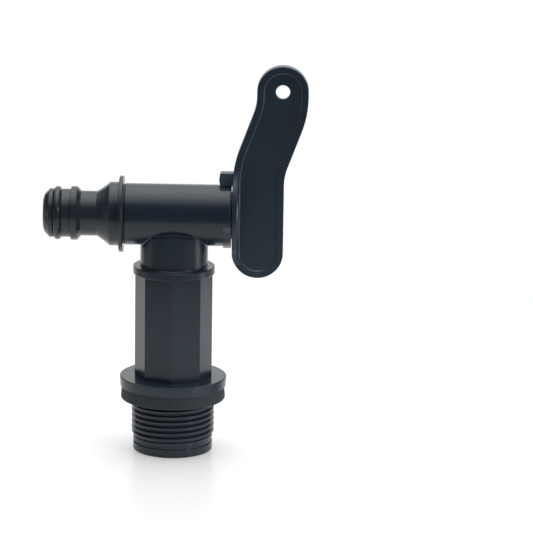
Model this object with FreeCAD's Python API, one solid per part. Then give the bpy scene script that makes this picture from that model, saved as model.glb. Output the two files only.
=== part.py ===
"""Water butt tap: a lever-worked plug valve with a threaded inlet and a push-on hose outlet.

Millimetres. The origin is the centre of the inlet thread's end face. +Z runs up the inlet stem,
+X along the barrel towards the lever, and -Y points at the side from which the lever's face shows.
The tap is modelled open, with the lever in line with the inlet.
"""
import FreeCAD, Part
import math
import os

V = FreeCAD.Vector
X_AXIS = V(1, 0, 0)
Y_AXIS = V(0, 1, 0)
Z_AXIS = V(0, 0, 1)

# Inlet: a 3/4 inch parallel pipe thread with a plain end and a wide straight bore
THREAD_MAJOR_D = 26.44
THREAD_PITCH = 1.814
THREAD_DEPTH = 0.95
THREAD_FLANK_DEG = 27.5
THREAD_CREST_W = 0.66
THREAD_TURNS = 6.8
THREAD_START_DEG = 130.0
THREAD_LEAD_IN_H = 2.6
THREAD_LEAD_IN_DEG = 35.0
THREAD_END_D = 25.40
THREAD_END_H = 2.60
THREAD_END_CHAMFER = 0.40
INLET_BORE_D = 17.0
INLET_BORE_H = 62.0
INLET_REACH = 21.1

# Inlet washer, pushed over the thread against the flange and slightly flared at its lower edge
WASHER_D = 33.4
WASHER_T = 4.2
WASHER_FLARE = 0.25
WASHER_EDGE_R = 0.6
WASHER_CLEARANCE = 0.10

# Flange, octagonal grip and round collar
FLANGE_D = 34.2
FLANGE_T = 3.3
FLANGE_DRAFT = 0.20
FLANGE_EDGE_R = 0.35
GRIP_ACROSS_CORNERS = 24.7
GRIP_SIDES = 8
GRIP_H = 33.5
GRIP_EDGE_R = 0.35
COLLAR_D = 26.0
COLLAR_T = 2.5
COLLAR_EDGE_R = 0.30

# Tee, the round neck that carries the barrel
TEE_D = 21.5
TEE_SHOULDER_BELOW_AXIS = 6.1
TEE_SHOULDER_RISE = 1.5
TEE_SHOULDER_LEAN_DEG = 62.0
TEE_BLEND_R = 0.40
TEE_FOOT_R = 0.50

# Barrel, which holds the turning plug
BARREL_AXIS_H = 76.75
BARREL_D = 19.5
BARREL_LEFT = 15.6
BARREL_RIGHT = 18.0
BARREL_EDGE_R = 0.30
BARREL_BORE_D = 15.2
BARREL_END_WALL = 3.4
PORT_D = 9.0

# Stop rib round the lever end of the barrel: highest where its sloped face stops the finger
RIB_H = 0.60
RIB_W = 2.4
STOP_H = 1.45
STOP_SLOPE_DEG = 6.0
STOP_FADE_DEG = 60.0
STOP_PLAY_DEG = 1.5

# Lever: a cranked flat band of one width, with a raised rim, a lens flange, a stop finger and a spigot
LEVER_W = 16.2
LEVER_T = 4.0
LEVER_RIM_W = 2.0
LEVER_RIM_EDGE_R = 0.12
LEVER_FRONT_RECESS = 0.50
LEVER_FRONT_SLOPE_W = 0.50
LEVER_BACK_RECESS = 1.75
LEVER_BACK_SLOPE_W = 0.20
LEVER_EDGE_R = 0.30
LEVER_GAP = 0.35
LEVER_TOP_OFFSET = 7.3
LEVER_BOTTOM_ARC_DROP = 11.7
LEVER_LOW_BEND_RISE = 14.6
LEVER_HIGH_BEND_RISE = 34.2
LEVER_TOP_ARC_RISE = 40.05
LEVER_BEND_R = 24.0
LEVER_HOLE_D = 4.5
LENS_HALF_W = 9.7
LENS_ARC_R = 15.0
LENS_ARC_DEG = 47.0
LENS_BLEND_R = 11.0
LENS_T = 1.85
LENS_EDGE_R = 0.30
LENS_BEVEL = 0.35
FINGER_W = 3.8
FINGER_L = 3.85
FINGER_H = 4.15
FINGER_BULGE = 0.40
FINGER_CLEARANCE = 0.25
FINGER_EDGE_R = 0.25
LEVER_RANGE_DEG = 90.0
SHOULDER_D = 15.0
SHOULDER_L = 0.22
JOURNAL_D = 9.6
JOURNAL_CLEARANCE = 0.08
SQUARE_W = 6.8
SQUARE_L = 4.3
SQUARE_CLEARANCE = 0.10
SNAP_D = 7.6
SNAP_L = 1.0
SNAP_TIP_GAP = 0.6

# Plug that opens and shuts the port, and its two sealing rings
RUNNING_CLEARANCE = 0.05
PLUG_END_PLAY = 0.20
PLUG_L = 23.6
PLUG_BORE_D = 10.0
PLUG_BORE_END_WALL = 3.2
RING_SECTION_D = 1.30
RING_OFFSET = 7.6
RING_SQUEEZE_GAP = 0.02
RING_GROOVE_W = 1.60

# Port seal between the inlet and the plug
PORT_SEAL_D = 12.4
PORT_SEAL_SEAT_BELOW_AXIS = 9.75
PORT_SEAL_GAP = 0.02

# Outlet nozzle for a push-on hose connector, its diameters and lengths from the flange to the nose
NOZZLE_BORE_D = 9.0
NOZZLE_FLANGE_D = 24.2
NOZZLE_FLANGE_T = 1.3
NOZZLE_FLANGE_EDGE_R = 0.25
NOZZLE_COLLAR_D = 20.2
NOZZLE_COLLAR_L = 3.1
NOZZLE_COLLAR_R = 0.25
NOZZLE_CONE_L = 4.0
NOZZLE_CONE_HOLLOW = 0.22
NOZZLE_NECK_D = 14.2
NOZZLE_NECK_L = 4.95
NOZZLE_LATCH_D = 17.0
NOZZLE_LATCH_BEVEL = 1.30
NOZZLE_LATCH_L = 1.85
NOZZLE_LATCH_STEP = 0.30
NOZZLE_LAND_D = 15.3
NOZZLE_LAND_L = 2.55
NOZZLE_GROOVE_W = 2.90
NOZZLE_NOSE_D = 15.5
NOZZLE_NOSE_L = 1.10
NOZZLE_NOSE_TAPER_L = 1.90
NOZZLE_NOSE_END_D = 11.6
NOZZLE_NOSE_R = 0.45
NOZZLE_SPIGOT_GAP = 0.05
NOZZLE_SPIGOT_L = 5.2
NOZZLE_BEAD_H = 0.30
NOZZLE_BEAD_L = 1.2

# Ring that the hose connector seals on, and the seal between the nozzle and the barrel
COUPLER_RING_OD = 17.0
COUPLER_RING_SECTION_D = 2.60
NOZZLE_SEAL_T = 0.5
NOZZLE_SEAL_D = 18.8

# Heights up the stem, worked out from the lengths above
FLANGE_BOTTOM = INLET_REACH
FLANGE_TOP = FLANGE_BOTTOM + FLANGE_T
GRIP_TOP = FLANGE_TOP + GRIP_H
COLLAR_TOP = GRIP_TOP + COLLAR_T
TEE_TOP = BARREL_AXIS_H - TEE_SHOULDER_BELOW_AXIS

# Places along the barrel, worked out from the lengths above
BARREL_R = BARREL_D / 2
BORE_R = BARREL_BORE_D / 2
BORE_END = BARREL_RIGHT - BARREL_END_WALL
PLUG_R = BORE_R - RUNNING_CLEARANCE
PLUG_RIGHT = BORE_END - PLUG_END_PLAY
PLUG_LEFT = PLUG_RIGHT - PLUG_L
LENS_LEFT = BARREL_RIGHT + LEVER_GAP
LEVER_LOW_X = LENS_LEFT + LEVER_W / 2
LEVER_HIGH_X = LEVER_LOW_X + LEVER_TOP_OFFSET
SQUARE_TIP = PLUG_RIGHT - SQUARE_L
NOZZLE_RIGHT = -BARREL_LEFT - NOZZLE_SEAL_T


def point_in_half_plane(along, radius, turned):
    """A point of a lathe profile: (radius, 0, along) about Z, or (along, 0, radius) about the barrel."""
    return V(along, 0, BARREL_AXIS_H + radius) if turned else V(radius, 0, along)


def lathe(profile, turned=False):
    """Revolve (along, radius) points, with an (along, radius) pair of pairs standing for an arc.

    A corner is a pair of numbers. An arc is ("arc", middle, end), each a pair of numbers.
    """
    def place(pair):
        return point_in_half_plane(pair[0], pair[1], turned)

    start = place(profile[0])
    edges = []
    here = start
    for step in profile[1:]:
        if step[0] == "arc":
            end = place(step[2])
            edges.append(Part.Arc(here, place(step[1]), end).toShape())
        else:
            end = place(step)
            edges.append(Part.LineSegment(here, end).toShape())
        here = end
    edges.append(Part.LineSegment(here, start).toShape())
    face = Part.Face(Part.Wire(edges))
    if turned:
        return face.revolve(V(0, 0, BARREL_AXIS_H), X_AXIS, 360)
    return face.revolve(V(0, 0, 0), Z_AXIS, 360)


def round_corner(corner, before, after, radius):
    """The start and the arc of a quarter-round corner of a lathe profile with square sides."""
    def towards(target):
        gap = math.hypot(target[0] - corner[0], target[1] - corner[1])
        return ((target[0] - corner[0]) / gap, (target[1] - corner[1]) / gap)

    a, b = towards(before), towards(after)
    start = (corner[0] + a[0] * radius, corner[1] + a[1] * radius)
    end = (corner[0] + b[0] * radius, corner[1] + b[1] * radius)
    centre = (corner[0] + (a[0] + b[0]) * radius, corner[1] + (a[1] + b[1]) * radius)
    reach = radius / math.sqrt(2)
    middle = (centre[0] - (a[0] + b[0]) * reach, centre[1] - (a[1] + b[1]) * reach)
    return [start, ("arc", middle, end)]


def bar_along_barrel(radius, left, right):
    """A round bar on the barrel's axis from one X to another."""
    return Part.makeCylinder(radius, right - left, V(left, 0, BARREL_AXIS_H), X_AXIS)


def torus_along_barrel(outer_r, section_d, x):
    """A sealing ring of round section on the barrel's axis."""
    return Part.makeTorus(outer_r - section_d / 2, section_d / 2, V(x, 0, BARREL_AXIS_H), X_AXIS)


def edge_middle(edge):
    """The point half way along an edge."""
    return edge.valueAt((edge.FirstParameter + edge.LastParameter) / 2)


def thread_ridge():
    """The helical ridge of the inlet thread, its first turns trimmed down to the plain end's diameter."""
    root_r = THREAD_MAJOR_D / 2 - THREAD_DEPTH
    sunk_r = root_r - 0.1
    crest_r = THREAD_MAJOR_D / 2
    half_crest = THREAD_CREST_W / 2
    half_foot = half_crest + (crest_r - sunk_r) * math.tan(math.radians(THREAD_FLANK_DEG))
    start_z = THREAD_END_H + half_foot
    helix = Part.makeHelix(THREAD_PITCH, THREAD_TURNS * THREAD_PITCH, crest_r)
    helix.translate(V(0, 0, start_z))
    section = Part.makePolygon([
        V(sunk_r, 0, start_z - half_foot),
        V(crest_r, 0, start_z - half_crest),
        V(crest_r, 0, start_z + half_crest),
        V(sunk_r, 0, start_z + half_foot),
        V(sunk_r, 0, start_z - half_foot)])
    ridge = Part.Wire(helix).makePipeShell([section], True, True)
    ridge.rotate(V(0, 0, 0), Z_AXIS, THREAD_START_DEG)
    end_r = THREAD_END_D / 2
    clear_r = crest_r + 0.5
    level = THREAD_END_H + THREAD_LEAD_IN_H
    full = level + (clear_r - end_r) / math.tan(math.radians(THREAD_LEAD_IN_DEG))
    trim = lathe([(THREAD_END_H - 1, end_r), (level, end_r), (full, clear_r), (full, clear_r + 1),
                  (THREAD_END_H - 1, clear_r + 1)])
    return ridge.cut(trim)


def stem_core():
    """The turned forms of the stem: plain end, thread core, flange, collar and tee, all one revolve."""
    end_r = THREAD_END_D / 2
    root_r = THREAD_MAJOR_D / 2 - THREAD_DEPTH
    flange_r = FLANGE_D / 2
    collar_r = COLLAR_D / 2
    tee_r = TEE_D / 2
    grip_r = GRIP_ACROSS_CORNERS / 2 * math.cos(math.pi / GRIP_SIDES) - 0.5
    profile = [
        (0, 0), (0, end_r - THREAD_END_CHAMFER), (THREAD_END_CHAMFER, end_r), (THREAD_END_H, end_r),
        (THREAD_END_H, root_r), (FLANGE_BOTTOM, root_r), (FLANGE_BOTTOM, flange_r - FLANGE_DRAFT)]
    profile += round_corner((FLANGE_TOP, flange_r), (FLANGE_BOTTOM, flange_r), (FLANGE_TOP, 0), FLANGE_EDGE_R)
    profile += [(FLANGE_TOP, grip_r), (GRIP_TOP, grip_r)]
    profile += round_corner((GRIP_TOP, collar_r), (GRIP_TOP, 0), (COLLAR_TOP, collar_r), COLLAR_EDGE_R)
    profile += round_corner((COLLAR_TOP, collar_r), (GRIP_TOP, collar_r), (COLLAR_TOP, 0), COLLAR_EDGE_R)
    profile += round_corner((COLLAR_TOP, tee_r), (COLLAR_TOP, collar_r), (TEE_TOP, tee_r), TEE_FOOT_R)
    shoulder_top = TEE_TOP + TEE_SHOULDER_RISE
    shoulder_r = tee_r - TEE_SHOULDER_RISE * math.tan(math.radians(TEE_SHOULDER_LEAN_DEG))
    profile += [(TEE_TOP, tee_r), (shoulder_top, shoulder_r), (shoulder_top, 0)]
    return lathe(profile)


def octagonal_grip():
    """The eight-sided grip, with one corner at the front and softly rounded upright edges."""
    corner_r = GRIP_ACROSS_CORNERS / 2
    corners = []
    for side in range(GRIP_SIDES + 1):
        angle = 2 * math.pi * side / GRIP_SIDES - math.pi / 2
        corners.append(V(corner_r * math.cos(angle), corner_r * math.sin(angle), FLANGE_TOP))
    prism = Part.Face(Part.makePolygon(corners)).extrude(Z_AXIS * GRIP_H)
    upright = [e for e in prism.Edges if abs(e.Vertexes[0].Z - e.Vertexes[1].Z) > GRIP_H / 2]
    return prism.makeFillet(GRIP_EDGE_R, upright)


def barrel_shell():
    """The outside of the barrel, with rounded end edges."""
    left, right = -BARREL_LEFT, BARREL_RIGHT
    profile = [(left, 0)]
    profile += round_corner((left, BARREL_R), (left, 0), (right, BARREL_R), BARREL_EDGE_R)
    profile += round_corner((right, BARREL_R), (left, BARREL_R), (right, 0), BARREL_EDGE_R)
    profile += [(right, 0)]
    return lathe(profile, turned=True)


def finger_half_angle():
    """Half the angle that the stop finger fills, seen along the barrel."""
    return math.degrees(math.asin(FINGER_W / 2 / (BARREL_R + FINGER_CLEARANCE)))


def stop_rib():
    """The rib that the finger meets: from the closed stop under the barrel round to the open stop.

    Angles are seen from the lever's side, with the finger at 0 when the tap is open and turning
    towards the front as it shuts. The rib fills what the finger leaves free. It is highest at the
    top of its sloped stop face and sinks from there to its plain height.
    """
    stop_r = BARREL_R + STOP_H
    outer_r = BARREL_R + RIB_H
    inner_r = BARREL_R - RIB_H
    left = BARREL_RIGHT - RIB_W
    first = LEVER_RANGE_DEG + finger_half_angle()
    last = 360 - finger_half_angle() - STOP_PLAY_DEG
    peak = first + STOP_SLOPE_DEG
    faded = peak + STOP_FADE_DEG

    def rim_point(degrees, radius):
        angle = math.radians(degrees)
        return V(left, -radius * math.sin(angle), BARREL_AXIS_H + radius * math.cos(angle))

    corners = [rim_point(first, inner_r), rim_point(first, BARREL_R), rim_point(peak, stop_r),
               rim_point(faded, outer_r), rim_point(last, outer_r), rim_point(last, inner_r)]
    fading = rim_point((peak + faded) / 2, outer_r + (STOP_H - RIB_H) / 4)
    edges = [
        Part.LineSegment(corners[0], corners[1]).toShape(),
        Part.LineSegment(corners[1], corners[2]).toShape(),
        Part.Arc(corners[2], fading, corners[3]).toShape(),
        Part.Arc(corners[3], rim_point((faded + last) / 2, outer_r), corners[4]).toShape(),
        Part.LineSegment(corners[4], corners[5]).toShape(),
        Part.Arc(corners[5], rim_point((first + last) / 2, inner_r), corners[0]).toShape()]
    return Part.Face(Part.Wire(edges)).extrude(X_AXIS * RIB_W)


def waterway():
    """All that is bored out of the body: inlet, port, seal seat, barrel bore and the lever's hole."""
    inlet = Part.makeCylinder(INLET_BORE_D / 2, INLET_BORE_H)
    port = Part.makeCylinder(PORT_D / 2, BARREL_AXIS_H)
    seat_z = BARREL_AXIS_H - PORT_SEAL_SEAT_BELOW_AXIS
    seat = Part.makeCylinder(PORT_SEAL_D / 2, PORT_SEAL_SEAT_BELOW_AXIS, V(0, 0, seat_z))
    bore = bar_along_barrel(BORE_R, -BARREL_LEFT - 1, BORE_END)
    hole = bar_along_barrel(JOURNAL_D / 2 + JOURNAL_CLEARANCE, BORE_END - 1, BARREL_RIGHT + 1)
    bead_x = NOZZLE_RIGHT + NOZZLE_SEAL_T + NOZZLE_SPIGOT_L / 2
    half_bead = NOZZLE_BEAD_L / 2
    bead_groove = bar_along_barrel(BORE_R + NOZZLE_BEAD_H, bead_x - half_bead, bead_x + half_bead)
    return inlet.multiFuse([port, seat, bore, hole, bead_groove])


def tee_joint():
    """The stem and the barrel joined, with a small blend all round where the tee meets the barrel."""
    joined = stem_core().fuse(barrel_shell())
    low, high = COLLAR_TOP + 2 * TEE_BLEND_R, BARREL_AXIS_H
    seams = [e for e in joined.Edges
             if low < edge_middle(e).z < high and len(e.Vertexes) == 2
             and abs(math.hypot(edge_middle(e).y, edge_middle(e).z - BARREL_AXIS_H) - BARREL_R) < 1e-4
             and abs(edge_middle(e).x) < TEE_D / 2 + TEE_BLEND_R]
    return joined.makeFillet(TEE_BLEND_R, seams)


def tap_body():
    """The moulded body: threaded inlet, flange, octagonal grip, collar, tee and barrel in one piece."""
    outside = tee_joint().multiFuse([octagonal_grip(), stop_rib(), thread_ridge()])
    return outside.cut(waterway()).removeSplitter()


def inlet_washer():
    """The thick rubber washer: its bore grips the neck under the flange, its mouth clears the thread."""
    mouth_r = THREAD_MAJOR_D / 2 + WASHER_CLEARANCE
    inner_r = mouth_r - THREAD_DEPTH
    outer_r = WASHER_D / 2
    bottom = FLANGE_BOTTOM - WASHER_T
    profile = [(FLANGE_BOTTOM, inner_r), (bottom + THREAD_DEPTH, inner_r), (bottom, mouth_r)]
    profile += round_corner((bottom, outer_r), (bottom, mouth_r), (FLANGE_BOTTOM, outer_r), WASHER_EDGE_R)
    profile += [(FLANGE_BOTTOM, outer_r - WASHER_FLARE)]
    return lathe(profile)


def nozzle_stations():
    """The X of each step of the nozzle, from its flange out to its nose."""
    stations = {"flange_right": NOZZLE_RIGHT}
    x = NOZZLE_RIGHT
    for name, length in (("flange_left", NOZZLE_FLANGE_T), ("collar_left", NOZZLE_COLLAR_L),
                         ("cone_left", NOZZLE_CONE_L), ("neck_left", NOZZLE_NECK_L),
                         ("bevel_left", NOZZLE_LATCH_BEVEL), ("latch_left", NOZZLE_LATCH_L),
                         ("step_left", NOZZLE_LATCH_STEP), ("land_left", NOZZLE_LAND_L),
                         ("groove_left", NOZZLE_GROOVE_W), ("nose_left", NOZZLE_NOSE_L),
                         ("tip", NOZZLE_NOSE_TAPER_L)):
        x -= length
        stations[name] = x
    return stations


def outlet_nozzle():
    """The hose outlet: a spigot that snaps into the barrel, a flange, and the connector's profile."""
    at = nozzle_stations()
    bore_r = NOZZLE_BORE_D / 2
    spigot_r = BORE_R - NOZZLE_SPIGOT_GAP
    spigot_right = NOZZLE_RIGHT + NOZZLE_SEAL_T + NOZZLE_SPIGOT_L
    bead_x = NOZZLE_RIGHT + NOZZLE_SEAL_T + NOZZLE_SPIGOT_L / 2
    flange_r = NOZZLE_FLANGE_D / 2
    collar_r = NOZZLE_COLLAR_D / 2
    neck_r = NOZZLE_NECK_D / 2
    latch_r = NOZZLE_LATCH_D / 2
    land_r = NOZZLE_LAND_D / 2
    nose_r = NOZZLE_NOSE_D / 2
    groove_r = COUPLER_RING_OD / 2 - COUPLER_RING_SECTION_D
    cone_middle = ((at["collar_left"] + at["cone_left"]) / 2, (collar_r + neck_r) / 2 - NOZZLE_CONE_HOLLOW)
    profile = [(spigot_right, bore_r), (spigot_right, spigot_r),
               (bead_x + NOZZLE_BEAD_L / 2, spigot_r),
               ("arc", (bead_x, spigot_r + NOZZLE_BEAD_H), (bead_x - NOZZLE_BEAD_L / 2, spigot_r)),
               (at["flange_right"], spigot_r)]
    profile += round_corner((at["flange_right"], flange_r), (at["flange_right"], 0),
                            (at["flange_left"], flange_r), NOZZLE_FLANGE_EDGE_R)
    profile += round_corner((at["flange_left"], flange_r), (at["flange_right"], flange_r),
                            (at["flange_left"], 0), NOZZLE_FLANGE_EDGE_R)
    profile += [(at["flange_left"], collar_r)]
    profile += [(at["collar_left"] + NOZZLE_COLLAR_R, collar_r)]
    profile += [(at["collar_left"], collar_r - NOZZLE_COLLAR_R / 2)]
    profile += [("arc", cone_middle, (at["cone_left"], neck_r)), (at["neck_left"], neck_r)]
    profile += [(at["bevel_left"], latch_r), (at["latch_left"], latch_r), (at["step_left"], land_r)]
    profile += [(at["land_left"], land_r), (at["land_left"], groove_r), (at["groove_left"], groove_r)]
    profile += [(at["groove_left"], nose_r), (at["nose_left"], nose_r)]
    profile += [(at["tip"] + NOZZLE_NOSE_R, NOZZLE_NOSE_END_D / 2 + NOZZLE_NOSE_R),
                (at["tip"], NOZZLE_NOSE_END_D / 2 - NOZZLE_NOSE_R), (at["tip"], bore_r)]
    return lathe(profile, turned=True)


def coupler_o_ring():
    """The ring that a hose connector seals on, seated in the nozzle's groove."""
    at = nozzle_stations()
    middle = (at["land_left"] + at["groove_left"]) / 2
    return torus_along_barrel(COUPLER_RING_OD / 2, COUPLER_RING_SECTION_D, middle)


def nozzle_seal():
    """The flat rubber ring between the nozzle's flange and the end of the barrel."""
    outer = bar_along_barrel(NOZZLE_SEAL_D / 2, NOZZLE_RIGHT, -BARREL_LEFT)
    return outer.cut(bar_along_barrel(BORE_R, NOZZLE_RIGHT - 1, -BARREL_LEFT + 1))


def port_seal():
    """The saddle-shaped rubber ring that closes the port against the plug."""
    seat_z = BARREL_AXIS_H - PORT_SEAL_SEAT_BELOW_AXIS
    ring = Part.makeCylinder(PORT_SEAL_D / 2, PORT_SEAL_SEAT_BELOW_AXIS, V(0, 0, seat_z))
    ring = ring.cut(Part.makeCylinder(PORT_D / 2, PORT_SEAL_SEAT_BELOW_AXIS, V(0, 0, seat_z)))
    return ring.cut(bar_along_barrel(PLUG_R + PORT_SEAL_GAP, -PORT_SEAL_D, PORT_SEAL_D))


def square_bar(width, left, right):
    """A square bar on the barrel's axis from one X to another."""
    corner = V(left, -width / 2, BARREL_AXIS_H - width / 2)
    return Part.makeBox(right - left, width, width, corner)


def valve_plug():
    """The hollow plug: open to the nozzle, with a side port, ring grooves and the lever's socket."""
    plug = bar_along_barrel(PLUG_R, PLUG_LEFT, PLUG_RIGHT)
    socket_left = SQUARE_TIP - SNAP_TIP_GAP
    bore = bar_along_barrel(PLUG_BORE_D / 2, PLUG_LEFT - 1, socket_left - PLUG_BORE_END_WALL)
    port = Part.makeCylinder(PORT_D / 2, BARREL_AXIS_H)
    socket = square_bar(SQUARE_W + 2 * SQUARE_CLEARANCE, socket_left, PLUG_RIGHT + 1)
    snap_r = SNAP_D / 2 + SQUARE_CLEARANCE
    snap = bar_along_barrel(snap_r, SQUARE_TIP + SNAP_L / 2 - SQUARE_CLEARANCE,
                            SQUARE_TIP + SNAP_L * 3 / 2 + SQUARE_CLEARANCE)
    cuts = [port, socket, snap]
    groove_r = PLUG_R - RING_SECTION_D
    for side in (-1, 1):
        left = side * RING_OFFSET - RING_GROOVE_W / 2
        groove = bar_along_barrel(PLUG_R + 1, left, left + RING_GROOVE_W)
        cuts.append(groove.cut(bar_along_barrel(groove_r, left, left + RING_GROOVE_W)))
    return plug.cut(bore.multiFuse(cuts))


def plug_ring(side):
    """One of the plug's two sealing rings, at its groove on the side that is -1 or 1."""
    outer_r = PLUG_R + RUNNING_CLEARANCE - RING_SQUEEZE_GAP
    return torus_along_barrel(outer_r, RING_SECTION_D, side * RING_OFFSET)


def lever_bend():
    """The crank of the lever's middle line: the turn in radians, and the bends' tangent length."""
    turn = math.atan2(LEVER_TOP_OFFSET, LEVER_HIGH_BEND_RISE - LEVER_LOW_BEND_RISE)
    return turn, LEVER_BEND_R * math.tan(turn / 2)


def lever_outline(half_width, y):
    """The closed outline at one distance from the lever's cranked middle line, in the plane of one Y.

    The middle line runs straight up, turns right through an arc, runs straight, turns back through
    an arc and runs straight up again. Each side of the outline is that line set off by half_width,
    and half circles close the ends.
    """
    turn, tangent = lever_bend()
    low_bend_z = BARREL_AXIS_H + LEVER_LOW_BEND_RISE
    high_bend_z = BARREL_AXIS_H + LEVER_HIGH_BEND_RISE
    bottom_z = BARREL_AXIS_H - LEVER_BOTTOM_ARC_DROP
    top_z = BARREL_AXIS_H + LEVER_TOP_ARC_RISE
    low_centre = V(LEVER_LOW_X + LEVER_BEND_R, y, low_bend_z - tangent)
    high_centre = V(LEVER_HIGH_X - LEVER_BEND_R, y, high_bend_z + tangent)

    def set_off(side):
        offset = side * half_width
        low_r = LEVER_BEND_R - offset
        high_r = LEVER_BEND_R + offset

        def on_low(angle):
            return low_centre + V(-low_r * math.cos(angle), 0, low_r * math.sin(angle))

        def on_high(angle):
            return high_centre + V(high_r * math.cos(angle), 0, -high_r * math.sin(angle))

        return [V(LEVER_LOW_X + offset, y, bottom_z), on_low(0), on_low(turn / 2), on_low(turn),
                on_high(turn), on_high(turn / 2), on_high(0), V(LEVER_HIGH_X + offset, y, top_z)]

    left, right = set_off(-1), set_off(1)
    edges = []
    for side in (left, right):
        edges.append(Part.LineSegment(side[0], side[1]).toShape())
        edges.append(Part.Arc(side[1], side[2], side[3]).toShape())
        edges.append(Part.LineSegment(side[3], side[4]).toShape())
        edges.append(Part.Arc(side[4], side[5], side[6]).toShape())
        edges.append(Part.LineSegment(side[6], side[7]).toShape())
    top = V(LEVER_HIGH_X, y, top_z + half_width)
    bottom = V(LEVER_LOW_X, y, bottom_z - half_width)
    edges.append(Part.Arc(left[7], top, right[7]).toShape())
    edges.append(Part.Arc(left[0], bottom, right[0]).toShape())
    return Part.Wire(Part.__sortEdges__(edges))


def lever_plate():
    """The cranked band: rounded outer edges, and on each face a drafted recess with a rounded mouth."""
    half_t = LEVER_T / 2
    plate = Part.Face(lever_outline(LEVER_W / 2, -half_t)).extrude(Y_AXIS * LEVER_T)
    on_faces = [e for e in plate.Edges if abs(abs(e.CenterOfMass.y) - half_t) < 1e-6]
    plate = plate.makeFillet(LEVER_EDGE_R, on_faces)
    recess_w = LEVER_W / 2 - LEVER_RIM_W
    over = 0.5
    for face, depth, slope_w in ((-1, LEVER_FRONT_RECESS, LEVER_FRONT_SLOPE_W),
                                 (1, LEVER_BACK_RECESS, LEVER_BACK_SLOPE_W)):
        mouth = lever_outline(recess_w + over * slope_w / depth, face * (half_t + over))
        floor = lever_outline(recess_w - slope_w, face * (half_t - depth))
        plate = plate.cut(Part.makeLoft([mouth, floor], True, True))
        within = Part.Face(lever_outline(recess_w + LEVER_RIM_W / 4, face * half_t))
        lip = [e for e in plate.Edges if within.isInside(edge_middle(e), 1e-5, True)]
        plate = plate.makeFillet(LEVER_RIM_EDGE_R, lip)
    hole = Part.makeCylinder(LEVER_HOLE_D / 2, LEVER_T + 2,
                             V(LEVER_HIGH_X, -half_t - 1, BARREL_AXIS_H + LEVER_TOP_ARC_RISE), Y_AXIS)
    return plate.cut(hole)


def lens_side(side):
    """One side of the lens seen along the barrel: a belly arc that runs into a hollow arc at each end.

    Returns seven points from the lower end to the upper one: the arcs' ends and middles in turn.
    """
    turn = math.radians(LENS_ARC_DEG)
    belly_h = LENS_ARC_R * math.sin(turn)
    belly_y = LENS_HALF_W - LENS_ARC_R * (1 - math.cos(turn))
    end_y = LEVER_T / 2 - LEVER_EDGE_R
    end_turn = math.acos(math.cos(turn) + (belly_y - end_y) / LENS_BLEND_R)
    mid_turn = (turn + end_turn) / 2

    def hollow(angle):
        height = belly_h + LENS_BLEND_R * (math.sin(turn) - math.sin(angle))
        return height, belly_y - LENS_BLEND_R * (math.cos(angle) - math.cos(turn))

    upper = [(belly_h, belly_y), hollow(mid_turn), hollow(end_turn)]
    points = [(-h, y) for h, y in reversed(upper)] + [(0, LENS_HALF_W)] + upper
    return [V(LENS_LEFT - 1, side * y, BARREL_AXIS_H + h) for h, y in points]


def lens_flange():
    """The flange that stiffens the lever's root: its left rim, swollen to a lens seen along the barrel."""
    front, back = lens_side(-1), lens_side(1)
    edges = []
    for points in (front, back):
        for i in (0, 2, 4):
            edges.append(Part.Arc(points[i], points[i + 1], points[i + 2]).toShape())
    edges.append(Part.LineSegment(front[0], back[0]).toShape())
    edges.append(Part.LineSegment(front[6], back[6]).toShape())
    lens = Part.Face(Part.Wire(Part.__sortEdges__(edges))).extrude(X_AXIS * (1 + LEVER_W / 2))
    reach = LENS_HALF_W + 1
    outside = Part.Face(lever_outline(LEVER_W / 2, -reach)).extrude(Y_AXIS * 2 * reach)
    inside = Part.Face(lever_outline(LEVER_W / 2 - LENS_T, -reach)).extrude(Y_AXIS * 2 * reach)
    lens = lens.common(outside).cut(inside)
    middle_x = LENS_LEFT + LENS_T / 2

    def rims(side):
        upright = [e for e in lens.Edges if e.BoundBox.XLength < LENS_T / 2]
        return [e for e in upright
                if abs(edge_middle(e).y) > LEVER_T / 2 and side * (edge_middle(e).x - middle_x) > 0]

    lens = lens.makeFillet(LENS_EDGE_R, rims(-1))
    return lens.makeChamfer(LENS_BEVEL, rims(1))


def stop_finger():
    """The finger that reaches over the barrel, its free end bulging and its underside curved."""
    low = BARREL_AXIS_H + BARREL_R - RIB_H - 1
    top = BARREL_AXIS_H + BARREL_R + FINGER_H
    free_end = LENS_LEFT - FINGER_L
    root = LENS_LEFT + LENS_T / 2
    y = -FINGER_W / 2
    bottom = top - FINGER_H
    corners = [V(x, y, z) for x, z in ((free_end, bottom), (free_end, low), (root, low), (root, top),
                                       (free_end, top))]
    bulge = Part.Arc(corners[4], V(free_end - FINGER_BULGE, y, (bottom + top) / 2), corners[0]).toShape()
    side = Part.Wire([bulge] + Part.makePolygon(corners).Edges)
    block = Part.Face(side).extrude(Y_AXIS * FINGER_W)
    ends = [e for e in block.Edges if edge_middle(e).x < free_end - FINGER_BULGE / 2 or
            (edge_middle(e).x < free_end + FINGER_BULGE and edge_middle(e).z > top - FINGER_BULGE)]
    block = block.makeFillet(FINGER_EDGE_R, ends)
    reach = free_end - FINGER_BULGE - 1
    return block.cut(bar_along_barrel(BARREL_R + FINGER_CLEARANCE, reach, LENS_LEFT))


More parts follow.
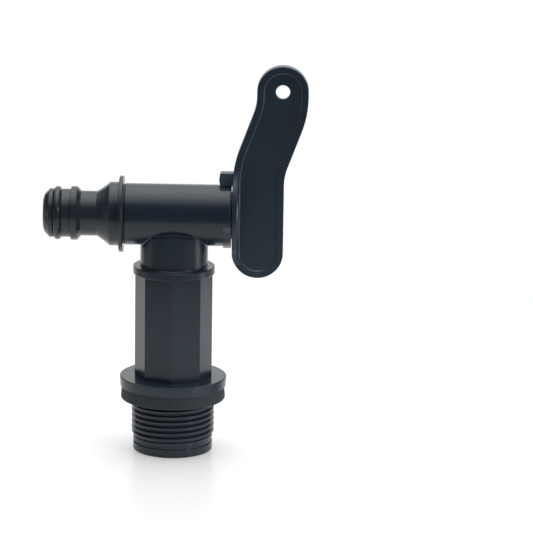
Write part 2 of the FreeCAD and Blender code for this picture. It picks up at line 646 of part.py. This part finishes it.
def spigot():
    """The lever's shoulder, journal, square drive and snap ring, which reach into the plug."""
    shoulder = bar_along_barrel(SHOULDER_D / 2, LENS_LEFT - SHOULDER_L, LENS_LEFT + LENS_T / 2)
    journal = bar_along_barrel(JOURNAL_D / 2, PLUG_RIGHT + PLUG_END_PLAY / 2, LENS_LEFT + LENS_T / 2)
    square = square_bar(SQUARE_W, SQUARE_TIP, LENS_LEFT)
    square = square.common(bar_along_barrel(JOURNAL_D / 2, SQUARE_TIP, LENS_LEFT))
    snap = bar_along_barrel(SNAP_D / 2, SQUARE_TIP + SNAP_L / 2, SQUARE_TIP + SNAP_L * 3 / 2)
    return journal.multiFuse([shoulder, square, snap])


def lever():
    """The lever in one moulding: cranked plate, lens flange, stop finger and spigot."""
    return lever_plate().multiFuse([lens_flange(), stop_finger(), spigot()]).removeSplitter()


PARTS = {
    "tap_body": tap_body,
    "inlet_washer": inlet_washer,
    "port_seal": port_seal,
    "outlet_nozzle": outlet_nozzle,
    "nozzle_seal": nozzle_seal,
    "coupler_o_ring": coupler_o_ring,
    "valve_plug": valve_plug,
    "plug_o_ring_left": lambda: plug_ring(-1),
    "plug_o_ring_right": lambda: plug_ring(1),
    "lever": lever,
}


def main():
    os.makedirs("parts", exist_ok=True)
    for name, make in PARTS.items():
        shape = make()
        shape.exportStep("parts/%s.step" % name)
        print("%-18s %7.2f cm3, %d faces" % (name, shape.Volume / 1000, len(shape.Faces)))


main()
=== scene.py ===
# %% [markdown]
# # Water butt tap
# This lesson dresses a lever tap for a water butt: a black moulded body with a threaded inlet, a
# lever with a raised rim, a hose nozzle and its rubber seals. The solid parts are already there as
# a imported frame, with the thread, the rims and the rounded edges in their shapes. Each step adds
# one thing that the eye expects: a view, a finish, a floor, a room.

# %% Load the frame
import math

import bpy
import numpy as np
from mathutils import Matrix, Vector


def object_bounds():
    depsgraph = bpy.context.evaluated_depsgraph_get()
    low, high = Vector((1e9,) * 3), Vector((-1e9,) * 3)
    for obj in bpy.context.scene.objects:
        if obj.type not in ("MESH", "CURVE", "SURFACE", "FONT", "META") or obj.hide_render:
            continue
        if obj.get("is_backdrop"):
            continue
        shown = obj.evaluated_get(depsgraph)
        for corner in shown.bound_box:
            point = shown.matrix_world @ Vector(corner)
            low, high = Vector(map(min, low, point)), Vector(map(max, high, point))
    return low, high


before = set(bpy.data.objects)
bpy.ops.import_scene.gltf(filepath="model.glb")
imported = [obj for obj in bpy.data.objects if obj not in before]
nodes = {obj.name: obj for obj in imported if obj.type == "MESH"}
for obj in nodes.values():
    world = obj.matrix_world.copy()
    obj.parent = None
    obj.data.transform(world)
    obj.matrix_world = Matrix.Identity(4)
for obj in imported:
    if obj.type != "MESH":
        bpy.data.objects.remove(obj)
cad_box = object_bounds()
for name, node in sorted(nodes.items()):
    print("  %-18s %6d triangles" % (name, len(node.data.polygons)))

# %% [markdown]
# ## The camera
# A product picture like this is taken from about a metre away with a long lens, so that parallel
# edges stay nearly parallel. The camera could be placed by eye, but it is set by numbers here: a
# focal length in widths of the picture, three angles, the point looked at and the distance.

# %% Camera
FOCAL_IN_WIDTHS = 3000 / 533        # 3000 pixels, in a picture 533 pixels wide
SENSOR = 36.0                       # millimetres
CLIP = (0.05, 20.0)                 # metres
PITCH, ROLL, YAW = (math.radians(a) for a in (13.135, 0.892, -0.341))
LOOK_AT = Vector((0.02941, 0.0, 0.06036))
DISTANCE = 0.953857

ahead = Vector((math.sin(YAW) * math.cos(PITCH), math.cos(YAW) * math.cos(PITCH), -math.sin(PITCH)))
level = Vector((math.cos(YAW), -math.sin(YAW), 0.0))
upright = level.cross(ahead)
across = math.cos(ROLL) * level + math.sin(ROLL) * upright
up = -math.sin(ROLL) * level + math.cos(ROLL) * upright

camera = bpy.data.objects.new("camera", bpy.data.cameras.new("camera"))
bpy.context.scene.collection.objects.link(camera)
camera.data.sensor_width = SENSOR
camera.data.lens = FOCAL_IN_WIDTHS * SENSOR
camera.data.clip_start, camera.data.clip_end = CLIP
axes = Matrix((across, up, -ahead)).transposed().to_4x4()
camera.matrix_world = Matrix.Translation(LOOK_AT - ahead * DISTANCE) @ axes
bpy.context.scene.camera = camera
print("camera %.0f mm at" % camera.data.lens, [round(v, 4) for v in camera.matrix_world.translation])

# %% [markdown]
# ## Shader maths
# A shader graph is arithmetic drawn as boxes. Written as boxes in code it is long and hard to read,
# so a small class wraps a socket and gives it the usual operators. Everything that isn't plain
# arithmetic, such as noise, comes from one method that takes the node's type, settings and inputs.

# %% Socket maths and the node maker
class Wire:
    """A socket that Python arithmetic works on. Each operator adds one Math node."""

    def __init__(self, shop, socket):
        self.shop, self.socket = shop, socket

    def math(self, operation, first, second):
        return self.shop.node("ShaderNodeMath", {"operation": operation}, {0: first, 1: second})

    def output(self, name):
        """Another output of the node that this one comes from."""
        return Wire(self.shop, self.socket.node.outputs[name])

    def __add__(self, other): return self.math("ADD", self, other)
    def __radd__(self, other): return self.math("ADD", other, self)
    def __sub__(self, other): return self.math("SUBTRACT", self, other)
    def __rsub__(self, other): return self.math("SUBTRACT", other, self)
    def __mul__(self, other): return self.math("MULTIPLY", self, other)
    def __rmul__(self, other): return self.math("MULTIPLY", other, self)
    def __pow__(self, other): return self.math("POWER", self, other)
    def __rpow__(self, other): return self.math("POWER", other, self)
    def __gt__(self, other): return self.math("GREATER_THAN", self, other)
    def __lt__(self, other): return self.math("LESS_THAN", self, other)


class Shop:
    """Makes the nodes of one material or world."""

    def __init__(self, tree):
        self.tree = tree
        tree.nodes.clear()

    def node(self, kind, settings=None, inputs=None, out=0):
        """Adds a node: its settings first, then its inputs, and returns one output as a Wire."""
        made = self.tree.nodes.new(kind)
        for key, value in (settings or {}).items():
            setattr(made, key, value)
        for key, value in (inputs or {}).items():
            if isinstance(value, Wire):
                self.tree.links.new(value.socket, made.inputs[key])
            else:
                made.inputs[key].default_value = value
        return Wire(self, made.outputs[out]) if len(made.outputs) else None

    def noise(self, place, scale, detail):
        """Cloudy noise from 0 to 1: cells to the metre, and how many finer layers it has."""
        inputs = {"Vector": place, "Scale": scale, "Detail": detail}
        return self.node("ShaderNodeTexNoise", None, inputs, "Fac")

    def ease(self, value, low, high, start=0.0, end=1.0):
        """From start to end in an S-curve while value goes from low to high, and level outside."""
        return self.node("ShaderNodeMapRange", {"interpolation_type": "SMOOTHSTEP"}, {
            "Value": value, "From Min": low, "From Max": high, "To Min": start, "To Max": end})

    def blend(self, factor, first, second):
        """A colour between first and second. Either may be a tuple of three numbers or a Wire."""
        first, second = (c if isinstance(c, Wire) else (*c, 1.0) for c in (first, second))
        return self.node("ShaderNodeMix", {"data_type": "RGBA"}, {"Factor": factor, 6: first, 7: second}, 2)


def new_material(name):
    """An empty material and its Shop."""
    material = bpy.data.materials.new(name)
    material.use_nodes = True
    return material, Shop(material.node_tree)


def stray(colour, share):
    """The colour made darker and lighter by the share."""
    return [c * (1 - share) for c in colour], [c * (1 + share) for c in colour]


print("shader maths ready: + - * ** > and <, noise, ease and blend")

# %% [markdown]
# ## Moulded plastic
# The body, the nozzle and the lever are injection-moulded in black plastic. It isn't quite black:
# it is a very dark blue-grey, with a satin skin that took its texture from the mould. A flat colour
# with one roughness looks like a computer's idea of plastic, so three small things vary: the colour
# in clouds and specks, the roughness in soft clouds, and the surface by a fine grain.
#
# Each finish keeps its roughness wholly below or wholly above 0.27, because thin contour lines
# show where it passes that value. The body and nozzle are the glossier ones, and the lever is duller.
# The lever's front panel lies half a millimetre deep, and its sloping wall shows as a pale line, so
# the wall's colour is lifted a little between its two depths: a painted highlight for the light it catches.

# %% Plastic
# Each noise is given by its cells to the metre and its finer layers.
CLOUDS, RIPPLE, SKIN, SPECKS = (90.0, 4.0), (260.0, 1.0), (3200.0, 2.0), (1700.0, 2.0)
PLASTIC_STRAY = 0.38                # how far the colour strays from its mean, as a share of it
GLOSS_STRAY = 0.03                  # how far the roughness strays from its mean
RIPPLE_HEIGHT = 0.25                # on the same scale as a finish's grain
PLASTIC_DEPTH, PLASTIC_BUMP = 0.00003, 0.35                 # metres, and the Bump node's strength
PLASTIC_IOR = 1.48
PANEL_WALL = (-0.00195, -0.00155)   # the sloping wall of the lever's panel, on Y
# A painted highlight on the panel's sloping wall, where it catches the light:
WALL_HIGHLIGHT_GAIN, WALL_HIGHLIGHT_LIFT = 1.8, 0.012   # the wall's colour: the lever's times the gain, plus the lift


def moulded_plastic(name, colour, roughness, grain, wall=None):
    """Satin moulded plastic.

    Colour: the given one, scaled by the mean of cloudy noise and a fine speckle.
    Roughness: the given value, plus or minus GLOSS_STRAY with the clouds.
    Bump: a grain of a third of a millimetre, over a slower ripple as cooling plastic shows.
    wall: two places on the part's own Y between which the colour is paler, as a painted highlight.
    """
    material, shop = new_material(name)
    place = shop.node("ShaderNodeTexCoord", out="Object")
    clouds = shop.noise(place, *CLOUDS)
    tint = shop.blend((clouds + shop.noise(place, *SPECKS)) * 0.5, *stray(colour, PLASTIC_STRAY))
    if wall:
        y = shop.node("ShaderNodeSeparateXYZ", None, {"Vector": place}, "Y")
        painted_highlight = [WALL_HIGHLIGHT_GAIN * c + WALL_HIGHLIGHT_LIFT for c in colour]
        # Painted highlight: the panel's sloping wall gets a paler colour for the light it catches.
        tint = shop.blend((y > wall[0]) * (y < wall[1]), tint, painted_highlight)
    height = shop.noise(place, *RIPPLE) * RIPPLE_HEIGHT + shop.noise(place, *SKIN) * grain
    bump = shop.node("ShaderNodeBump", None, {
        "Height": height, "Strength": PLASTIC_BUMP, "Distance": PLASTIC_DEPTH})
    gloss = clouds * (2 * GLOSS_STRAY) + (roughness - GLOSS_STRAY)
    finish = shop.node("ShaderNodeBsdfPrincipled", None, {
        "Base Color": tint, "Roughness": gloss, "IOR": PLASTIC_IOR, "Normal": bump})
    shop.node("ShaderNodeOutputMaterial", None, {"Surface": finish})
    print("%-20s roughness %.2f to %.2f, %d nodes" % (
        name, roughness - GLOSS_STRAY, roughness + GLOSS_STRAY, len(shop.tree.nodes)))
    return material


body_plastic = moulded_plastic(
    "satin_black_plastic", (0.021, 0.035, 0.054), roughness=0.23, grain=0.5)
nozzle_plastic = moulded_plastic(
    "nozzle_black_plastic", (0.028, 0.039, 0.052), roughness=0.23, grain=0.5)
lever_plastic = moulded_plastic(
    "lever_black_plastic", (0.027, 0.047, 0.072), roughness=0.32, grain=0.6, wall=PANEL_WALL)
plug_plastic = moulded_plastic(
    "plug_plastic", (0.024, 0.030, 0.036), roughness=0.22, grain=0.3)

# %% [markdown]
# ## Rubber
# The washer under the flange is dull rubber with a coarse, dusty skin. The ring near the nozzle's
# end and the ones in the barrel are smooth and lightly greased, and the seal that the nozzle's
# flange presses on the barrel is dry and darker. One recipe makes all three: a fine dust scatters
# the colour more than the plastic's specks do, and the grain is deeper. Only the colour, the
# roughness and the strength of the grain tell the rubbers apart.

# %% Rubber
RUBBER_CLOUDS, RUBBER_SKIN, DUST = (140.0, 5.0), (2200.0, 3.0), (1300.0, 2.0)
RUBBER_STRAY = 0.65
RUBBER_GLOSS_STRAY = 0.06
RUBBER_DEPTH = 0.00005              # metres
RUBBER_IOR = 1.5
DUST_SHARE = 0.7                    # the dust's part in the colour, and the clouds have the rest


def rubber(name, colour, roughness, grain):
    """Rubber: colour scaled by dust over soft clouds, roughness by the clouds, and a bump of skin."""
    material, shop = new_material(name)
    place = shop.node("ShaderNodeTexCoord", out="Object")
    clouds = shop.noise(place, *RUBBER_CLOUDS)
    dusty = clouds * (1 - DUST_SHARE) + shop.noise(place, *DUST) * DUST_SHARE
    tint = shop.blend(dusty, *stray(colour, RUBBER_STRAY))
    bump = shop.node("ShaderNodeBump", None, {
        "Height": shop.noise(place, *RUBBER_SKIN), "Strength": grain, "Distance": RUBBER_DEPTH})
    gloss = clouds * (2 * RUBBER_GLOSS_STRAY) + (roughness - RUBBER_GLOSS_STRAY)
    finish = shop.node("ShaderNodeBsdfPrincipled", None, {
        "Base Color": tint, "Roughness": gloss, "IOR": RUBBER_IOR, "Normal": bump})
    shop.node("ShaderNodeOutputMaterial", None, {"Surface": finish})
    print("%-20s roughness %.2f to %.2f, %d nodes" % (
        name, roughness - RUBBER_GLOSS_STRAY, roughness + RUBBER_GLOSS_STRAY, len(shop.tree.nodes)))
    return material


washer_rubber = rubber("matte_washer_rubber", (0.034, 0.045, 0.059), roughness=0.72, grain=0.6)
seal_rubber = rubber("greased_seal_rubber", (0.030, 0.038, 0.048), roughness=0.16, grain=0.15)
dry_rubber = rubber("dry_seal_rubber", (0.018, 0.034, 0.056), roughness=0.45, grain=0.3)

# %% [markdown]
# ## The finishes on the solid parts
# The solids already have the right shapes, so none is replaced: each gets its finish in its own
# material slots. The plug, its two rings and the port's seal are inside, and show only where the
# lever's spigot or the nozzle's bore lets the eye in, but they are finished like the rest.

# %% Put the finishes on
FINISHES = {"tap_body": body_plastic, "outlet_nozzle": nozzle_plastic, "lever": lever_plastic,
            "valve_plug": plug_plastic, "inlet_washer": washer_rubber, "nozzle_seal": dry_rubber,
            "coupler_o_ring": seal_rubber, "port_seal": seal_rubber,
            "plug_o_ring_left": seal_rubber, "plug_o_ring_right": seal_rubber}
for name, finish in FINISHES.items():
    slots = nodes[name].material_slots
    if not slots:
        nodes[name].data.materials.append(finish)
    for slot in slots:
        slot.material = finish
print("finished %d parts" % len(FINISHES))

# %% [markdown]
# ## The floor
# The tap stands on white paper, and its soft shadow and faint reflection hold it there. A large
# plane would do, but a disc ends at the same distance on every side, so the room looks the same
# from all round.
#
# White paper lit to full white would also light the black plastic from below, more than is seen on
# it. So the camera sees white paper with a little light of its own, and the light that bounces up
# comes from a plain pale paper with a painted pool of light: paler near the tap and behind it, and
# darker away from it. Rays off a mirror and through glass see a half of each. On the right the paper
# has one patch of painted shade, whose reflection keeps the flange's right side dark.

# %% The shape of the floor
FLOOR_R, FLOOR_RINGS, FLOOR_TURNS = 0.24, 12, 96            # metres, and two counts


def disc(name, radius, rings, turns):
    """A flat disc: point (ring, turn) lies at radius * ring / rings, at angle 2 pi turn / turns."""
    r = np.linspace(0.0, radius, rings + 1)[1:, None]
    a = np.linspace(0.0, 2 * math.pi, turns, endpoint=False)[None, :]
    points = np.stack([r * np.cos(a), r * np.sin(a), np.zeros_like(r * a)], -1).reshape(-1, 3)
    points = np.vstack([points, [[0, 0, 0]]])
    i, j = np.meshgrid(np.arange(rings - 1), np.arange(turns), indexing="ij")
    inner, outer, k = i * turns, (i + 1) * turns, (j + 1) % turns
    quads = np.stack([inner + j, outer + j, outer + k, inner + k], -1).reshape(-1, 4)
    fan = np.stack([np.full(turns, len(points) - 1), j[0], k[0]], -1)
    mesh = bpy.data.meshes.new(name)
    mesh.from_pydata(points.tolist(), [], quads.tolist() + fan.tolist())
    made = bpy.data.objects.new(name, mesh)
    bpy.context.scene.collection.objects.link(made)
    return made


floor = disc("floor", FLOOR_R, FLOOR_RINGS, FLOOR_TURNS)
print("floor of %d faces, %.0f mm across" % (len(floor.data.polygons), 2000 * FLOOR_R))

# %% How the paper looks to the light
# A painted pool of light: the paper's tone is higher near the tap, and higher again behind it.
FROM_TAP, PAINTED_POOL_TONES = (0.05, 0.13), (0.87, 0.52)          # metres away, and the tone there
BEHIND_TAP, PAINTED_LIGHT_BEHIND = (0.04, 0.10), 0.30                # metres back, and the tone added there
# The painted shade: a dark place on the paper whose reflection keeps the flange's right side dark.
# Its middle and its edge in metres, and the share of the tone that is left there.
PAINTED_SHADE_PLACE, PAINTED_SHADE_EDGE, PAINTED_SHADE_SHARE = (0.100, 0.015, 0.0), (0.020, 0.055), 0.08


def matt(shop, tone):
    """A dull shader of one grey."""
    return shop.node("ShaderNodeBsdfDiffuse", None, {"Color": (tone, tone, tone, 1), "Roughness": 0.0})


floor_paper, shop = new_material("white_paper")
place = shop.node("ShaderNodeTexCoord", out="Object")
from_tap = shop.node("ShaderNodeVectorMath", {"operation": "LENGTH"}, {0: place}, "Value")
from_painted_shade = shop.node("ShaderNodeVectorMath", {"operation": "DISTANCE"}, {0: place, 1: PAINTED_SHADE_PLACE}, "Value")
behind = shop.node("ShaderNodeSeparateXYZ", None, {"Vector": place}, "Y")
# Painted shade: near this place the paper keeps only a small share of its tone.
clear = shop.ease(from_painted_shade, *PAINTED_SHADE_EDGE, PAINTED_SHADE_SHARE, 1.0)
# The painted pool of light near and behind the tap.
tone = shop.ease(from_tap, *FROM_TAP, *PAINTED_POOL_TONES) + shop.ease(behind, *BEHIND_TAP, 0.0, PAINTED_LIGHT_BEHIND)
plain = shop.node("ShaderNodeMixShader", None, {0: tone * clear, 1: matt(shop, 0.0), 2: matt(shop, 1.0)})
print("plain paper of %d nodes" % len(shop.tree.nodes))

# %% How the paper looks to the eye
WHITE_TONE, GLOW = 0.76, 0.27
SHEEN_TONE, SHEEN_ROUGHNESS = 0.14, 0.24
MIRRORED_SHARE = 0.5


def sees_white(shop, share):
    """1 for a ray from the camera, the share for one off a mirror or through glass, and else 0."""
    camera_ray = shop.node("ShaderNodeLightPath", out="Is Camera Ray")
    mirrored = camera_ray.output("Is Glossy Ray") + camera_ray.output("Is Transmission Ray")
    return camera_ray + mirrored * share


glow = shop.node("ShaderNodeEmission", None, {"Color": (1, 1, 1, 1), "Strength": GLOW})
sheen = shop.node("ShaderNodeBsdfGlossy", None, {
    "Color": (SHEEN_TONE, SHEEN_TONE, SHEEN_TONE, 1), "Roughness": SHEEN_ROUGHNESS})
glowing = shop.node("ShaderNodeAddShader", None, {0: matt(shop, WHITE_TONE), 1: glow})
white = shop.node("ShaderNodeAddShader", None, {0: glowing, 1: sheen})
# Mirrored rays see half the white, and less of it in the painted shade.
seen_white = sees_white(shop, clear * MIRRORED_SHARE)
paper = shop.node("ShaderNodeMixShader", None, {0: seen_white, 1: plain, 2: white})
shop.node("ShaderNodeOutputMaterial", None, {"Surface": paper})
floor.data.materials.append(floor_paper)
floor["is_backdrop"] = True
print("paper of %d nodes" % len(shop.tree.nodes))

# %% [markdown]
# ## The room
# Black plastic shows itself by what it mirrors, so the room matters more than the lamps, and here
# the lamps are a part of it. The world's colour is worked out from the direction that a ray leaves
# in, as a product studio would be built round the tap:
#
# - a wide soft light overhead, leaning back a little, which draws the long highlight on the barrel;
# - a pale backdrop behind, and a pale ground that runs up to it;
# - a strip light on the right, bright, and one on the left, faint, for the octagon's sides. They end
#   low, because from the opposite side a taller one would turn the flange's flat top white;
# - low fill on both sides, for the flange's rim, and a small lamp in front on the right.
#
# Area lamps and cards could do the same, but they would get in the way of the other views. The
# backdrop is white to the camera from every side. Rays off a mirror and through glass see that
# white too, where they meet the backdrop and not the dark part of the room in front.
#
# A ray's direction is an arrow of length 1, so its parts on X, Y and Z lie between -1 and 1, and
# places in the room are given by such parts: a window by its low end, its high end and how softly
# it fades, and an edge by where it starts and ends.

# %% Directions
world = bpy.data.worlds.new("studio")
world.use_nodes = True
bpy.context.scene.world = world
shop = Shop(world.node_tree)
look = shop.node("ShaderNodeTexCoord", out="Generated")
rightwards = shop.node("ShaderNodeSeparateXYZ", None, {"Vector": look}, "X")
backwards, upwards = rightwards.output("Y"), rightwards.output("Z")
leftwards = 0 - rightwards


def window(value, low, high, soft):
    """1 between low and high, fading to 0 over the soft width on both sides."""
    return shop.ease(value, low - soft, low) * (1 - shop.ease(value, high, high + soft))


def towards(direction):
    """How nearly a ray leaves in the direction: 1 along it, 0 square to it."""
    return shop.node("ShaderNodeVectorMath", {"operation": "DOT_PRODUCT"}, {0: look, 1: direction}, "Value")


print("room starts with %d nodes for the directions" % len(shop.tree.nodes))

# %% Overhead light, backdrop and ground
OVERHEAD, OVERHEAD_POWER = (0.0, 0.174, 0.985), 2.55
OVERHEAD_START, OVERHEAD_CURVE = 0.5, 1.5                   # a curve above 1 draws the light together
BACKDROP_POWER, BACKDROP_EDGE = 0.8, (0.2, 0.5)
BACKDROP_ACROSS, BACKDROP_UP = (-0.34, 0.34, 0.16), (-0.04, 0.25, 0.50)
GROUND_POWER, GROUND_EDGE, GROUND_TOP = 0.60, (0.30, 0.95), (-0.06, 0.02)
GROUND_LEFT, GROUND_LEFT_EDGE = 0.35, (0.2, 0.6)            # what the ground has more on the left
GROUND_LEAST = 0.06

under_it = shop.node("ShaderNodeMapRange", None, {
    "Value": towards(OVERHEAD), "From Min": OVERHEAD_START, "From Max": 1.0})
overhead = under_it ** OVERHEAD_CURVE * OVERHEAD_POWER
backdrop = window(rightwards, *BACKDROP_ACROSS) * window(upwards, *BACKDROP_UP)
backdrop = backdrop * shop.ease(backwards, *BACKDROP_EDGE) * BACKDROP_POWER
ground = GROUND_POWER + shop.ease(leftwards, *GROUND_LEFT_EDGE) * GROUND_LEFT
ground = shop.ease(backwards, *GROUND_EDGE) * ground + GROUND_LEAST
ground = ground * (1 - shop.ease(upwards, *GROUND_TOP))
print("overhead light of strength %.2f, backdrop of %.2f" % (OVERHEAD_POWER, BACKDROP_POWER))

# %% Strips, fill and lamp
SIDE_EDGE = (0.0, 0.1)
STRIP_RIGHT, STRIP_LEFT = 9.5, 0.9
STRIP_BACK, STRIP_UP = (-0.07, 0.10, 0.03), (-0.13, 0.06, 0.05)
FILL_RIGHT, FILL_LEFT = 0.6, 0.3
FILL_BACK, FILL_UP = (-0.16, 0.16, 0.12), (-0.34, -0.17, 0.06)
LAMP_AT, LAMP_POWER = (0.764, -0.546, 0.343), 24.0
LAMP_EDGE = [math.cos(math.radians(a)) for a in (5.5, 3.5)]

on_right, on_left = shop.ease(rightwards, *SIDE_EDGE), shop.ease(leftwards, *SIDE_EDGE)
tall = window(backwards, *STRIP_BACK) * window(upwards, *STRIP_UP)
strips = tall * (on_right * STRIP_RIGHT + on_left * STRIP_LEFT)
low = window(backwards, *FILL_BACK) * window(upwards, *FILL_UP)
fill = low * (on_right * FILL_RIGHT + on_left * FILL_LEFT)
lamp = shop.ease(towards(LAMP_AT), *LAMP_EDGE) * LAMP_POWER
print("strips %.1f and %.1f, fill %.1f and %.1f, lamp %.0f" % (
    STRIP_RIGHT, STRIP_LEFT, FILL_RIGHT, FILL_LEFT, LAMP_POWER))

# %% Join the room
HAZE = 0.05
MIRRORED_EDGE = (0.80, 0.97)        # backwards, where a mirrored ray starts to see the white

light = overhead + backdrop + ground + strips + fill + lamp + HAZE
seen_white = sees_white(shop, shop.ease(backwards, *MIRRORED_EDGE))
strength = shop.node("ShaderNodeMix", {"data_type": "FLOAT"}, {0: seen_white, 2: light, 3: 1.0})
background = shop.node("ShaderNodeBackground", None, {"Color": (1, 1, 1, 1), "Strength": strength})
shop.node("ShaderNodeOutputWorld", None, {"Surface": background})
bpy.context.scene.view_settings.view_transform = "Standard"
print("room of %d nodes" % len(shop.tree.nodes))

# %% [markdown]
# ## Sizes
# The dressed tap must be as large as the solids it was dressed on, so both boxes are written down.

# %% Sizes, for the record
shown_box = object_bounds()
print("solids %s mm, dressed %s mm" % tuple(
    " x ".join("%.1f" % (1000 * (high - low)) for low, high in zip(*box)) for box in (cad_box, shown_box)))
